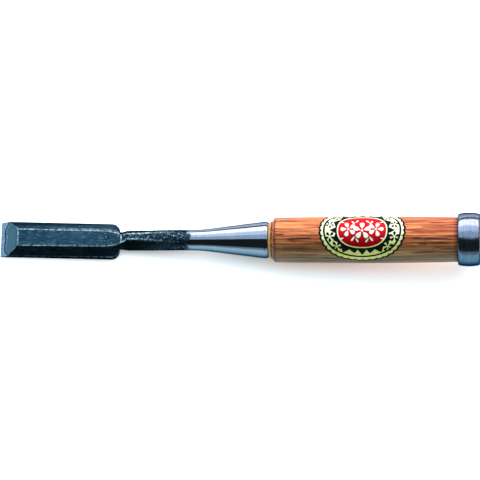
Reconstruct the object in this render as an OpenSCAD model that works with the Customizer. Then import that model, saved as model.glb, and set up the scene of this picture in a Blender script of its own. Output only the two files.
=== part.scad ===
// Japanese bench chisel (oire-nomi), lying on its flat back and on the front shoulder of its handle.
// Origin: middle of the cutting edge, in the plane of the flat back.
// +X runs along the blade towards the handle, +Z points out of the beveled side.

/* [Blade] */
// Width of the cutting edge
edge_w = 18; // [15:0.5:24]
// Width of the blade at its heel
heel_w = 17.3; // [14.5:0.1:23]
// Length of the blade from the cutting edge to the neck
blade_l = 58.5; // [45:0.5:70]
// Length of the ground bevel, measured along the blade
bevel_l = 8.4; // [7:0.1:11]
// Thickness of the blade at the top of the bevel
tip_t = 5; // [4:0.1:6]
// Thickness of the blade at its heel
heel_t = 6.6; // [5.5:0.1:8]
// Height of the square wall along each side of the blade, at the cutting edge
side_h = 2.1; // [1.6:0.1:2.6]
// Width of the flat along the top of the blade, at the bevel
flat_w = 8.4; // [6:0.1:10]
// Width of the flat along the top of the blade, where it starts to narrow at the heel
flat_heel_w = 7.8; // [6:0.1:10]
// Rounding of the two heel corners, seen from above
heel_r = 4.2; // [3:0.1:6]

/* [Cutting steel] */
// Thickness of the hard steel under the middle of the blade
steel_t = 1.2; // [0.8:0.1:1.5]
// Length of the hollow ground into the back
hollow_l = 46; // [30:1:50]
// Width of the hollow ground into the back
hollow_w = 13; // [8:0.5:14]
// Depth of the hollow ground into the back
hollow_d = 0.45; // [0.2:0.05:0.6]
// Flat land between the cutting edge and the hollow
hollow_land = 3.4; // [2:0.1:6]

/* [Neck and tang] */
// Height of the handle's axis over the flat back, at the heel of the blade
axis_h = 4; // [3.6:0.1:4.6]
// Half the width of the neck where it leaves the blade
neck_r = 4.8; // [4:0.1:5.5]
// Radius of the neck where it turns round and starts to flare
flare_r = 5.05; // [4.8:0.05:5.6]
// Distance from the cutting edge to the start of the flare
flare_u = 92.5; // [85:0.5:95]
// Width of the square tang at the ferrule
tang_w = 6.2; // [5:0.1:6.6]
// Width of the square tang at its end
tang_end_w = 3; // [2:0.1:4]
// Length of the tang
tang_l = 58; // [45:1:70]

/* [Ferrule] */
// Distance from the cutting edge to the small end of the ferrule
ferrule_u = 106.7; // [104:0.1:108]
// Distance from the cutting edge to the big end of the ferrule
ferrule_end_u = 131.8; // [128:0.1:134]
// Greatest outside radius of the ferrule
ferrule_r = 9.05; // [8.6:0.05:9.4]
// Wall thickness of the ferrule
ferrule_wall = 1.3; // [1:0.05:1.6]
// Length of the rounded lip at the big end
lip_l = 2; // [1:0.1:3]

/* [Handle] */
// Radius of the handle at its thickest point
belly_r = 11.45; // [11.2:0.05:12]
// How much thinner the two ends of the handle are
belly_drop = 0.48; // [0.2:0.02:0.6]
// Radius of the wood inside the hoop
seat_r = 10.8; // [10:0.05:10.9]
// Distance from the cutting edge to the start of the hoop
hoop_u = 224.3; // [200:0.1:240]
// How far the wood stands out of the hoop
crown_h = 1.5; // [0.5:0.1:3]

/* [Hoop] */
// Length of the hoop along the handle
hoop_l = 10.8; // [8:0.1:14]
// Greatest outside radius of the hoop
hoop_r = 13.2; // [12.6:0.05:14]
// How much lower the two rims are than the middle of the hoop
hoop_drop = 0.95; // [0.3:0.05:1.2]

/* [Label] */
// Distance from the cutting edge to the middle of the label
label_u = 178; // [160:1:195]
// Length of the label along the handle
label_l = 42.6; // [20:0.2:50]
// Width of the label, measured round the handle
label_w = 34.6; // [15:0.2:36]
// Turn of the label round the handle, towards +Y
label_turn = 3; // [-20:1:20]
// Number of scallops round the label's edge
scallops = 36; // [12:1:48]

/* [Hidden] */

// Where the tilted axis of the neck and handle crosses the blade.
pivot_x = blade_l - 4.5;
hoop_mid_u = hoop_u + hoop_l / 2;

// The top of the blade narrows to the neck from the first of these distances to the second.
ogive_x = blade_l - 7.5;
ogive_end_x = blade_l + 0.5;
ogive_end_w = 4.3;
// Radius of the round-bottomed trough where the soft iron meets the hard steel.
trough_r = (pow(edge_w / 2, 2) + pow(side_h - steel_t, 2)) / (2 * (side_h - steel_t));

flare_angle = 7.2;
flare_bend_r = 88;
flare_straight_u = flare_u + flare_bend_r * sin(flare_angle);
flare_straight_r = flare_r + flare_bend_r * (1 - cos(flare_angle));
lip_u = ferrule_end_u - lip_l;
lip_r = ferrule_r - 0.45;
cone_slope = (ferrule_r - flare_straight_r) / (lip_u - flare_straight_u);
function cone_r(u) = flare_straight_r + cone_slope * (u - flare_straight_u);

// The handle's nose fills the ferrule, and stops short of the blade's shoulder.
nose_gap = 0.5;
nose_u = ferrule_u + nose_gap;
nose_end_r = ferrule_r - ferrule_wall;
nose_slope = (nose_end_r - (cone_r(ferrule_u) - ferrule_wall)) / (ferrule_end_u - ferrule_u);
function nose_r(u) = nose_end_r + nose_slope * (u - ferrule_end_u);

collar_u = ferrule_end_u + 1.9;
collar_r = 9.4;
belly_u = ferrule_end_u + 3.3;
shoulder_r = belly_r - belly_drop;
// The handle's tilt: its front shoulder just reaches the plane of the flat back.
shoulder_d = belly_u - pivot_x;
tilt = atan2(shoulder_r, shoulder_d) - asin(axis_h / norm([shoulder_r, shoulder_d])) + 0.02;
belly_mid_u = (belly_u + hoop_u) / 2;
belly_half = (hoop_u - belly_u) / 2;
function handle_r(u) = belly_r - belly_drop * pow((u - belly_mid_u) / belly_half, 2);

hoop_end_u = hoop_u + hoop_l;
butt_u = hoop_end_u + crown_h;
butt_flat_r = 7.5;
tang_end_u = ferrule_u + tang_l;

glue_t = 0.04;
label_t = 0.15;
eps = 0.01;

// Puts a solid that was turned about the Z axis onto the tilted axis of the handle.
module on_axis() {
    translate([pivot_x, 0, axis_h]) rotate([0, 90 - tilt, 0])
        translate([0, 0, -pivot_x]) children();
}

// Puts a solid that was laid along the X axis onto the tilted axis of the handle.
module along_axis() {
    translate([pivot_x, 0, axis_h]) rotate([0, -tilt, 0])
        translate([-pivot_x, 0, 0]) children();
}

// A closed solid through rings of points, all with the same number of points.
// The rings follow one another along +X, each anticlockwise when seen from +X.
module loft(rings) {
    n = len(rings[0]);
    last = (len(rings) - 1) * n;
    sides = [for (r = [0 : len(rings) - 2], i = [0 : n - 1])
        let (a = r * n + i, b = r * n + (i + 1) % n)
        each [[a, a + n, b], [b, a + n, b + n]]];
    ends = [[for (i = [0 : n - 1]) i], [for (i = [n - 1 : -1 : 0]) last + i]];
    polyhedron(points = [for (ring = rings) each ring], faces = concat(sides, ends));
}

// ---- Blade ----

blade_slope = (heel_t - tip_t) / (blade_l - bevel_l);
function blade_t(x) = tip_t + blade_slope * (x - bevel_l);

heel_x = blade_l - heel_r;
heel_y = heel_w / 2 - heel_r;
heel_steps = 6;

// Three points of the sloped side of the blade, and the height of that slope over its outline.
slope_a = [0, edge_w / 2, side_h];
slope_b = [bevel_l, flat_w / 2, tip_t];
slope_c = [ogive_x, flat_heel_w / 2, blade_t(ogive_x)];
slope_n = cross(slope_b - slope_a, slope_c - slope_a);
heel_side_h = side_h - (slope_n[0] * heel_x + slope_n[1] * (heel_w - edge_w) / 2) / slope_n[2];

// A point at the foot of the sloped heel, and one where the slope meets the top.
function heel_foot(i) = let (a = 90 - 84 * i / heel_steps)
    [heel_x + heel_r * cos(a), heel_y + heel_r * sin(a), heel_side_h];
function heel_top(i) = let (s = i / heel_steps, x = ogive_x + (ogive_end_x - ogive_x) * s)
    [x, flat_heel_w / 2 + (ogive_end_w - flat_heel_w) / 2 * pow(s, 1.7), blade_t(x)];

// The blade's outline from above, with its two rounded heel corners.
module blade_outline() {
    foot = [for (i = [0 : heel_steps]) [heel_foot(i)[0], heel_foot(i)[1]]];
    far = [for (i = [heel_steps : -1 : 0]) [heel_foot(i)[0], -heel_foot(i)[1]]];
    polygon(concat([[0, -edge_w / 2], [0, edge_w / 2]], foot, far));
}

// The blade seen from the side: the edge, the bevel, the top and the flat back.
module blade_side_view() {
    polygon([[0, 0], [bevel_l, tip_t], [blade_l + 1, blade_t(blade_l + 1)], [blade_l + 1, 0]]);
}

// Everything above the plane through three points.
module slope_cut(foot, second, third) {
    normal = cross(second - foot, third - foot);
    out = normal * (normal[2] < 0 ? -1 : 1) / norm(normal);
    translate(foot) rotate([0, acos(out[2]), atan2(out[1], out[0])])
        translate([-2 * blade_l, -2 * blade_l, 0]) cube([4 * blade_l, 4 * blade_l, edge_w]);
}

// Everything beyond the sloped side and the sloped heel of the blade, on the +Y side.
module side_cuts() {
    slope_cut(slope_a, slope_b, slope_c);
    for (i = [0 : heel_steps - 1])
        slope_cut(heel_foot(i), heel_foot(i + 1), (heel_top(i) + heel_top(i + 1)) / 2);
}

// The whole laminated blade, before its two metals are told apart.
module blade() {
    difference() {
        intersection() {
            rotate([90, 0, 0])
                linear_extrude(height = 2 * edge_w, center = true) blade_side_view();
            linear_extrude(height = 4 * heel_t, center = true) blade_outline();
        }
        side_cuts();
        mirror([0, 1, 0]) side_cuts();
    }
}

// The round-bottomed trough of soft iron that sits in the hard steel.
module iron_trough() {
    translate([-1, 0, steel_t + trough_r]) rotate([0, 90, 0])
        cylinder(r = trough_r, h = blade_l + 2, $fn = 256);
}

// The barrel whose surface is the long shallow hollow in the back.
module hollow_barrel() {
    barrel_r = (pow(hollow_w / 2, 2) + pow(hollow_d, 2)) / (2 * hollow_d);
    long_r = (pow(hollow_l / 2, 2) + pow(hollow_d, 2)) / (2 * hollow_d);
    half = hollow_l / 2 + 1;
    steps = 16;
    bulge = [for (i = [0 : steps])
        let (x = half * (2 * i / steps - 1))
        [barrel_r - long_r + sqrt(pow(long_r, 2) - pow(x, 2)), x]];
    translate([hollow_land + hollow_l / 2, 0, hollow_d - barrel_r]) rotate([0, 90, 0])
        rotate_extrude($fn = 256) polygon(concat([[0, -half]], bulge, [[0, half]]));
}

// ---- Neck, shoulder and tang ----

// One ring of the neck: [distance along the axis, half width, height over the axis,
// depth under the axis, share of the way from the ridged section to a round one].
function neck_ring(s, n = 32) = [for (i = [0 : n - 1])
    let (
        a = 90 - 360 * (i + 0.5) / n,
        up = sin(a) > 0,
        power = up ? 1.45 + (1 - 1.45) * s[4] : 0.8 + (1 - 0.8) * s[4]
    )
    [s[0],
     -s[1] * sign(cos(a)) * pow(abs(cos(a)), power),
     (up ? s[2] : s[3]) * sign(sin(a)) * pow(abs(sin(a)), power)]];

neck_sections = [
    [blade_l - 2.5, 3.8, 2, 3.3, 0],
    [blade_l + 1, 4.3, 2.4, 3.4, 0],
    [blade_l + 4.5, neck_r, 3.5, 3.6, 0],
    [blade_l + 12, neck_r, 3.8, 3.9, 0.25],
    [blade_l + 21, neck_r + 0.05, 4.4, 4.4, 0.7],
    [flare_u - 3, flare_r - 0.08, flare_r - 0.1, flare_r - 0.1, 1],
    [flare_u + 1, flare_r - 0.05, flare_r - 0.05, flare_r - 0.05, 1]
];

// The round flare that ends in the shoulder against the ferrule.
module flare() {
    steps = 6;
    bend = [for (i = [0 : steps])
        let (a = flare_angle * i / steps)
        [flare_r + flare_bend_r * (1 - cos(a)), flare_u + flare_bend_r * sin(a)]];
    rotate_extrude($fn = 96)
        polygon(concat([[0, flare_u]], bend, [[cone_r(ferrule_u), ferrule_u], [0, ferrule_u]]));
}

// One of the two equal side views of the tapered tang.
module tang_side_view(extra) {
    taper = (tang_end_w - tang_w) / tang_l;
    end_w = tang_end_w + taper * extra;
    polygon([
        [ferrule_u - 1, -tang_w / 2],
        [ferrule_u, -tang_w / 2],
        [tang_end_u + extra, -end_w / 2],
        [tang_end_u + extra, end_w / 2],
        [ferrule_u, tang_w / 2],
        [ferrule_u - 1, tang_w / 2]
    ]);
}

// The square tapered tang that is driven into the handle.
module tang(extra = 0) {
    intersection() {
        linear_extrude(height = 2 * tang_w, center = true) tang_side_view(extra);
        rotate([90, 0, 0])
            linear_extrude(height = 2 * tang_w, center = true) tang_side_view(extra);
    }
}

module blade_body() {
    color("#3c5468") {
        intersection() {
            blade();
            iron_trough();
        }
        along_axis() loft([for (s = neck_sections) neck_ring(s)]);
        on_axis() flare();
        along_axis() tang();
    }
}

module cutting_steel() {
    color("#9fb4c4") difference() {
        blade();
        iron_trough();
        hollow_barrel();
    }
}

// ---- Ferrule, handle and hoop ----

module ferrule() {
    color("#c3c8dc") on_axis() rotate_extrude($fn = 128)
        polygon([
            [nose_r(ferrule_u), ferrule_u],
            [cone_r(ferrule_u), ferrule_u],
            [ferrule_r, lip_u],
            [lip_r, ferrule_end_u],
            [nose_end_r, ferrule_end_u]
        ]);
}

module handle() {
    steps = 14;
    belly = [for (i = [0 : steps])
        let (u = belly_u + 2 * belly_half * i / steps)
        [handle_r(u), u]];
    round_r = seat_r - butt_flat_r;
    butt = [for (i = [0 : 6])
        let (a = 90 * i / 6)
        [butt_flat_r + round_r * cos(a), hoop_end_u + crown_h * sin(a)]];
    color("#c98a5e") difference() {
        on_axis() rotate_extrude($fn = 128)
            polygon(concat(
                [[0, nose_u], [nose_r(nose_u), nose_u], [nose_end_r, ferrule_end_u]],
                [[lip_r - 0.05, ferrule_end_u], [collar_r, collar_u]],
                belly,
                [[seat_r, hoop_u]],
                butt,
                [[0, butt_u]]
            ));
        along_axis() tang(extra = 1);
    }
}

module hoop() {
    steps = 10;
    rim = 0.4;
    half = hoop_l / 2 - rim;
    crown = [for (i = [0 : steps])
        let (v = 2 * i / steps - 1)
        [hoop_r - hoop_drop * v * v, hoop_mid_u + half * v]];
    rim_r = hoop_r - hoop_drop - rim;
    color("#8d98ab") on_axis() rotate_extrude($fn = 128)
        polygon(concat(
            [[seat_r, hoop_u], [rim_r, hoop_u]],
            crown,
            [[rim_r, hoop_end_u], [seat_r, hoop_end_u]]
        ));
}

// ---- Label ----

label_mid_r = belly_r + glue_t + label_t / 2;
// The turn at which the label's edge passes from being cut from above to being cut from the side.
split_a = 52;

function label_share(a) = 1 - 0.018 * (1 - cos(a * scallops)) / 2;
function label_x(a) = label_u + label_l / 2 * label_share(a) * cos(a);
function label_a(a) = label_w / 2 / label_mid_r * 180 / PI * label_share(a) * sin(a);

// The edge of the label seen square on, out to the turn where its sides take over.
module label_top_view() {
    count = 4 * scallops;
    split_y = label_mid_r * sin(split_a);
    intersection() {
        polygon([for (i = [0 : count - 1])
            let (a = 360 * i / count)
            [label_x(a), label_mid_r * sin(min(89, max(-89, label_a(a))))]]);
        translate([label_u - label_l, -split_y]) square([2 * label_l, 2 * split_y]);
    }
}

// The edge of the label seen from one side, from the turn where its top ends.
module label_side_view() {
    count = 4 * scallops;
    split_z = label_mid_r * cos(split_a);
    intersection() {
        polygon([for (i = [0 : count / 2])
            let (a = 360 * i / count)
            [label_x(a), label_mid_r * cos(label_a(a))]]);
        translate([label_u - label_l, split_z - 2 * label_mid_r])
            square([2 * label_l, 2 * label_mid_r]);
    }
}

// The thin foil itself, wrapped most of the way round the handle.
module label_foil() {
    steps = 8;
    run = [for (i = [0 : steps]) label_u + label_l * (i / steps - 0.5)];
    under = [for (u = run) [handle_r(u) + glue_t, u]];
    over = [for (i = [steps : -1 : 0]) [handle_r(run[i]) + glue_t + label_t, run[i]]];
    rotate([0, 90, 0]) rotate([0, 0, 80])
        rotate_extrude(angle = 200, $fn = 144) polygon(concat(under, over));
}

module label() {
    split_y = label_mid_r * sin(split_a);
    color("#d9c27a") along_axis() rotate([-label_turn, 0, 0]) intersection() {
        label_foil();
        union() {
            linear_extrude(height = 2 * label_mid_r) label_top_view();
            for (side = [0, 1]) mirror([0, side, 0]) rotate([90, 0, 0])
                translate([0, 0, split_y]) linear_extrude(height = label_mid_r) label_side_view();
        }
    }
}

blade_body();
cutting_steel();
ferrule();
handle();
hoop();
label();
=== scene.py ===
import math

import bmesh
import bpy
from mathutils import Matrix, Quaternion, Vector, noise


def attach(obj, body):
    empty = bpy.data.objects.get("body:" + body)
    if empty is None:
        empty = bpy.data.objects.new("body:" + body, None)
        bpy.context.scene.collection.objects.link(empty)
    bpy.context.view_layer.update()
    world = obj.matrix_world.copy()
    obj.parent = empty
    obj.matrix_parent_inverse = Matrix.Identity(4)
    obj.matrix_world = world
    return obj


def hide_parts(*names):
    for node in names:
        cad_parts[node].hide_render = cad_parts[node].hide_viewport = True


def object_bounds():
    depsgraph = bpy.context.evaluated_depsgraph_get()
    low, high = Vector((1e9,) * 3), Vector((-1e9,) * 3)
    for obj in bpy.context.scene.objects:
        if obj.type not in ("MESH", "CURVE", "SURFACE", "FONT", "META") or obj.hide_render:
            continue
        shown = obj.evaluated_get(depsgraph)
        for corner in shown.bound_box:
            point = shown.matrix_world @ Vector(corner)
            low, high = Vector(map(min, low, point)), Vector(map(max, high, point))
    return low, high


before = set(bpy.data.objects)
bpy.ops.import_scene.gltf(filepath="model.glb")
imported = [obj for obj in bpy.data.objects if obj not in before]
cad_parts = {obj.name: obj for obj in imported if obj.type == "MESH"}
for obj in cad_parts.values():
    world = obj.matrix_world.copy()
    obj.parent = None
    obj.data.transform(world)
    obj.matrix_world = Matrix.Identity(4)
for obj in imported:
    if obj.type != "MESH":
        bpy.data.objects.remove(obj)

cad_lo, cad_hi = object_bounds()
rad, sin, cos, pi = math.radians, math.sin, math.cos, math.pi
MM = 0.001

# ---------------------------------------------------------------- sizes, in mm, as in the CAD
EDGE_W, HEEL_W, BLADE_L, BEVEL_L = 18.0, 17.3, 58.5, 8.4
TIP_T, HEEL_T, SIDE_H = 5.0, 6.6, 2.1
FLAT_W, FLAT_HEEL_W, HEEL_R = 8.4, 7.8, 4.2
HOLLOW_L, HOLLOW_W, HOLLOW_D, HOLLOW_LAND = 46.0, 13.0, 0.45, 3.4
AXIS_H, FERRULE_U, FERRULE_END = 4.0, 106.7, 131.8
FERRULE_R, WALL, LIP_L = 9.05, 1.3, 2.0
BELLY_R, BELLY_DROP, SEAT_R = 11.45, 0.48, 10.8
HOOP_U, HOOP_L, HOOP_R, HOOP_DROP, CROWN_H, DOME_R = 224.3, 10.8, 13.2, 0.95, 1.5, 7.5
LABEL_U, LABEL_L, LABEL_W, LABEL_TURN = 178.0, 42.6, 34.6, 3.0
# the shoulder's inner radius, then the square tang and its socket: (place from the ferrule, width)
SHOULDER_R = 4.6
TANG = ((0, 6.2), (29, 4.6), (58, 3.0))
SOCKET = ((59, 0.2), (59, 2.96), (58, 3.0), (29, 4.6), (0.5, 6.18))

HEEL_X, HEEL_Y = BLADE_L - HEEL_R, HEEL_W / 2 - HEEL_R
OGIVE_X, OGIVE_END, OGIVE_W = BLADE_L - 7.5, BLADE_L + 0.5, 4.3
PIVOT = BLADE_L - 4.5
BELLY_U = FERRULE_END + 3.3
BELLY_MID, BELLY_HALF = (BELLY_U + HOOP_U) / 2, (HOOP_U - BELLY_U) / 2
# the axis rises just enough for the front of the handle to clear the plane of the back
FRONT_R, REACH = BELLY_R - BELLY_DROP, BELLY_U - PIVOT
TILT = math.atan2(FRONT_R, REACH) - math.asin(AXIS_H / math.hypot(FRONT_R, REACH)) + rad(0.02)
# the polished neck flares along an arc and then goes straight on into the ferrule's cone
FLARE_U, FLARE_R, FLARE_A, FLARE_BEND = 92.5, 5.05, rad(7.2), 88.0
STRAIGHT_U = FLARE_U + FLARE_BEND * sin(FLARE_A)
STRAIGHT_R = FLARE_R + FLARE_BEND * (1 - cos(FLARE_A))
LIP_U = FERRULE_END - LIP_L
CONE = (FERRULE_R - STRAIGHT_R) / (LIP_U - STRAIGHT_U)
HOOP_END = HOOP_U + HOOP_L

# ---------------------------------------------------------------- sizes of the meshes
MERGE = 2e-6
TURNS = 192
ANGLES = [2 * pi * i / TURNS for i in range(TURNS)]


def clamp(v, a=0.0, b=1.0):
    return max(a, min(b, v))


def lerp(a, b, t):
    return a + (b - a) * t


def smooth(t):
    t = clamp(t)
    return t * t * (3 - 2 * t)


def bell(distance, width):
    return math.exp(-((distance / width) ** 2))


def nz(x, y, z=0.0, s=1.0):
    """Noise by place, about -1 to 1."""
    return noise.noise(Vector((x * s + 11.3, y * s - 4.7, z * s + 2.9))) * 1.6


def cone_r(u):
    if u < FLARE_U:
        return FLARE_R
    if u < STRAIGHT_U:
        return FLARE_R + FLARE_BEND - math.sqrt(FLARE_BEND**2 - (u - FLARE_U) ** 2)
    return STRAIGHT_R + CONE * (u - STRAIGHT_U)


def nose_r(u):
    a, b = cone_r(FERRULE_U) - WALL, FERRULE_R - WALL
    return lerp(a, b, (u - FERRULE_U) / (FERRULE_END - FERRULE_U))


def belly_r(u):
    return BELLY_R - BELLY_DROP * ((u - BELLY_MID) / BELLY_HALF) ** 2


def square_r(width, a):
    """Distance from the middle of a square of this width to its side, at angle a."""
    return width / 2 / max(abs(sin(a)), abs(cos(a)))


def axis_z(x):
    return AXIS_H + (x - PIVOT) * math.tan(TILT)


def place(u, y, z):
    """A point given along, across and over the tilted axis, in the row frame."""
    along = u - PIVOT
    return (PIVOT + along * cos(TILT) - z * sin(TILT), y, AXIS_H + along * sin(TILT) + z * cos(TILT))


def polar(u, r, a):
    """A point round the tilted axis: angle 0 is the beveled side, positive towards +Y."""
    return place(u, r * sin(a), r * cos(a))


# ---------------------------------------------------------------- meshes
def loft(rings, caps=(True, True)):
    n = len(rings[0])
    verts = [p for ring in rings for p in ring]
    faces = []
    for j in range(len(rings) - 1):
        for i in range(n):
            a, b = j * n + i, j * n + (i + 1) % n
            faces.append((a, b, b + n, a + n))
    if caps[0]:
        faces.append(tuple(range(n - 1, -1, -1)))
    if caps[1]:
        faces.append(tuple(range((len(rings) - 1) * n, len(rings) * n)))
    return verts, faces


def join_row(name, me, material, nodes, sharp):
    """Makes a mesh an object that rides on the one body and, if it has nodes, replaces them."""
    me.polygons.foreach_set("use_smooth", [True] * len(me.polygons))
    me.set_sharp_from_angle(angle=rad(sharp))
    me.materials.append(material)
    ob = bpy.data.objects.new(name, me)
    bpy.context.scene.collection.objects.link(ob)
    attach(ob, "root")
    if nodes:
        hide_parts(*nodes)


def piece(name, mesh, material, nodes, sharp, values):
    """A piece from points in mm and faces. values holds a number for every point, by attribute."""
    verts, faces = mesh
    me = bpy.data.meshes.new(name)
    me.from_pydata([(x * MM, y * MM, z * MM) for x, y, z in verts], [], faces)
    for key, vals in values.items():
        me.attributes.new(key, "FLOAT", "POINT").data.foreach_set("value", vals)
    bm = bmesh.new()
    bm.from_mesh(me)
    bmesh.ops.remove_doubles(bm, verts=bm.verts, dist=MERGE)
    bmesh.ops.dissolve_degenerate(bm, dist=MERGE / 2, edges=bm.edges)
    bmesh.ops.recalc_face_normals(bm, faces=bm.faces)
    bm.to_mesh(me)
    bm.free()
    join_row(name, me, material, nodes, sharp)


# ---------------------------------------------------------------- materials
class Mat:
    """A node material, written as nested calls."""

    def __init__(self, name, **sockets):
        self.m = bpy.data.materials.new(name)
        self.m.use_nodes = True
        self.t = self.m.node_tree
        self.bsdf = self.t.nodes["Principled BSDF"]
        self.coord = self.t.nodes.new("ShaderNodeTexCoord").outputs["Object"]
        self.set(**sockets)

    def put(self, socket, value):
        if isinstance(value, bpy.types.NodeSocket):
            self.t.links.new(value, socket)
        elif value is not None:
            if hasattr(socket.default_value, "__len__") and not hasattr(value, "__len__"):
                value = (value,) * len(socket.default_value)
            if hasattr(value, "__len__") and len(value) == 3 and len(socket.default_value) == 4:
                value = (*value, 1.0)
            socket.default_value = value

    def set(self, **sockets):
        for k, v in sockets.items():
            self.put(self.bsdf.inputs[k.replace("_", " ")], v)

    def node(self, kind, inputs=(), out=0, **props):
        n = self.t.nodes.new("ShaderNode" + kind)
        for k, v in props.items():
            setattr(n, k, v)
        for k, v in dict(inputs).items():
            self.put(n.inputs[k], v)
        return n.outputs[out]

    def attr(self, name):
        return self.node("Attribute", attribute_name=name, out="Fac")

    def noise(self, scale, detail, rough, distort=0.0, vector=None):
        return self.node("TexNoise", {"Vector": vector or self.coord, "Scale": scale, "Detail": detail,
                                      "Roughness": rough, "Distortion": distort})

    def streaks(self, scale, detail, rough, distort=0.0, vector=None):
        """Noise with its own scale on each axis."""
        vector = self.node("Mapping", {"Vector": vector or self.coord, "Scale": scale})
        return self.noise(1.0, detail, rough, distort, vector)

    def axial(self, along, across, detail, rough, distort=0.0):
        """Noise with one scale along the tilted axis and another across it."""
        level = self.node("Mapping", {"Vector": self.coord, "Rotation": (0, TILT, 0)})
        return self.streaks((along, across, across), detail, rough, distort, level)

    def math(self, op, a, b=0.0, c=0.0):
        return self.node("Math", {0: a, 1: b, 2: c}, operation=op)

    def add(self, a, b):
        return self.math("ADD", a, b)

    def sub(self, a, b):
        return self.math("SUBTRACT", a, b)

    def mul(self, a, b):
        return self.math("MULTIPLY", a, b)

    def absolute(self, a):
        return self.math("ABSOLUTE", a)

    def weigh(self, *pairs):
        """The sum of values, each with its weight."""
        terms = [self.mul(value, weight) for value, weight in pairs]
        total = terms.pop()
        while terms:
            total = self.add(terms.pop(), total)
        return total

    def sway(self, value, amount):
        """A noise value as a swing about 0, amount wide in all."""
        return self.mul(self.sub(value, 0.5), amount)

    def map(self, value, a, b, c=0.0, d=1.0, soft=False):
        inputs = {"Value": value, "From Min": a, "From Max": b, "To Min": c, "To Max": d}
        return self.node("MapRange", inputs, interpolation_type="SMOOTHSTEP" if soft else "LINEAR")

    def fade(self, fac, a, b):
        """One number fading into another."""
        return self.node("Mix", {0: fac, 2: a, 3: b})

    def mix(self, fac, a, b, mode="MIX"):
        """One colour laid over another."""
        n = self.t.nodes.new("ShaderNodeMix")
        n.data_type = "RGBA"
        n.blend_type = mode
        for k, v in ((0, fac), (6, a), (7, b)):
            self.put(n.inputs[k], v)
        return n.outputs[2]

    def ramp(self, fac, *stops):
        """Colours by value. Each stop is a value and a display colour."""
        n = self.t.nodes.new("ShaderNodeValToRGB")
        while len(n.color_ramp.elements) < len(stops):
            n.color_ramp.elements.new(0.5)
        for e, (at, color) in zip(n.color_ramp.elements, stops):
            e.position = at
            e.color = (*srgb(color), 1.0)
        self.put(n.inputs[0], fac)
        return n.outputs[0]

    def split(self, vector, axis):
        return self.node("SeparateXYZ", {0: vector}, out=axis)

    def bump(self, height, strength, distance):
        return self.node("Bump", {"Height": height, "Strength": strength, "Distance": distance})

    def round_axis(self):
        """The place along the tilted axis from the pivot, in metres, and the angle round it."""
        x, y, z = (self.split(self.coord, k) for k in range(3))
        dx, dz = self.sub(x, PIVOT * MM), self.sub(z, AXIS_H * MM)
        u = self.weigh((dx, cos(TILT)), (dz, sin(TILT)))
        up = self.sub(self.mul(dz, cos(TILT)), self.mul(dx, sin(TILT)))
        return u, self.math("ARCTAN2", y, up)

    def painted_underside_shade(self, base, cloud, side, under):
        """Painted shade that darkens bright steel towards its underside, alike on both sides."""
        a = self.add(self.absolute(self.round_axis()[1]), self.sway(cloud, 0.5))
        for start, end, shade_tint in ((40, 62, side), (62, 95, under)):
            shaded = self.mix(1.0, base, shade_tint, "MULTIPLY")
            base = self.mix(self.map(a, rad(start), rad(end), soft=True), base, shaded)
        return base


def srgb(color):
    """A display colour of 0 to 255 as linear light."""
    return tuple(c / 12.92 if c <= 0.04045 else ((c + 0.055) / 1.055) ** 2.4 for c in (v / 255 for v in color))


# the tint of bare steel at its edges, and painted shade on turned steel: on the sides and underneath
STEEL_TINT = (0.16, 0.22, 0.3)
CONE_SHADE = (0.54, 0.79, 0.86), (0.74, 0.78, 0.8)
HOOP_SHADE = (0.32, 0.53, 0.6), (0.84, 0.84, 0.86)
CONE_LIGHT, CONE_DARK, CONE_ROUGH = (142, 146, 155), (120, 128, 138), (0.06, 0.12)


def forged_iron():
    m = Mat("forged_iron", Metallic=1.0, Specular_Tint=STEEL_TINT)
    ridge, skin, side, ground = (m.attr(key) for key in MARKS)
    lines = m.streaks((330, 2300, 2300), 5, 0.75)
    speck = m.noise(1500, 3, 0.7)
    blotch = m.streaks((120, 260, 260), 3, 0.6)
    lumps = m.noise(700, 4, 0.65, 0.4)
    base = m.ramp(m.weigh((lines, 0.85), (blotch, 0.15)),
                  (0.36, (9, 24, 36)), (0.5, (29, 52, 65)), (0.64, (60, 86, 99)))
    scale = m.ramp(m.weigh((lumps, 0.7), (speck, 0.3)),
                   (0.38, (4, 9, 14)), (0.54, (18, 34, 46)), (0.64, (46, 74, 92)), (0.74, (150, 182, 192)))
    base = m.mix(skin, base, scale)
    flecks = m.map(m.noise(1300, 2, 0.6), 0.62, 0.69)
    base = m.mix(m.mul(flecks, m.mul(skin, 0.85)), base, srgb((190, 214, 218)))
    base = m.mix(ground, base, m.ramp(lines, (0.3, (42, 72, 84)), (0.7, (60, 92, 104))))
    # ridges are worn bright in dashes and given a painted highlight
    dashes = m.map(m.streaks((700, 500, 500), 2, 0.7), 0.42, 0.57, 0.12, 1.0)
    base = m.mix(m.mul(ridge, dashes), base, srgb((164, 196, 200)))
    # dark scale on the sides of the forging, with painted shade
    base = m.mix(m.mul(side, 0.88), base, srgb((8, 18, 22)))
    # polished metal begins at a ragged line along the neck
    at = m.add(m.split(m.coord, 0), m.sway(m.streaks((200, 320, 320), 4, 0.7), 0.012))
    polished = m.map(at, 0.0918, 0.0926)
    rings = m.axial(2600, 60, 3, 0.6)
    # the polished neck, with painted shade towards its underside
    bright = m.painted_underside_shade(m.ramp(rings, (0.3, CONE_DARK), (0.7, CONE_LIGHT)), blotch, *CONE_SHADE)
    rough = m.map(m.weigh((blotch, 0.6), (speck, 0.4)), 0.3, 0.7, 0.34, 0.56)
    rough = m.sub(rough, m.mul(ground, 0.08))
    rough = m.fade(polished, rough, m.map(rings, 0.3, 0.7, *CONE_ROUGH))
    height = m.add(m.weigh((lines, 0.35), (speck, 0.5)), m.mul(lumps, m.mul(skin, 1.6)))
    height = m.fade(polished, height, m.mul(rings, 0.25))
    m.set(Base_Color=m.mix(polished, base, bright), Roughness=rough, Normal=m.bump(height, 0.55, 0.00009))
    return m.m


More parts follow.
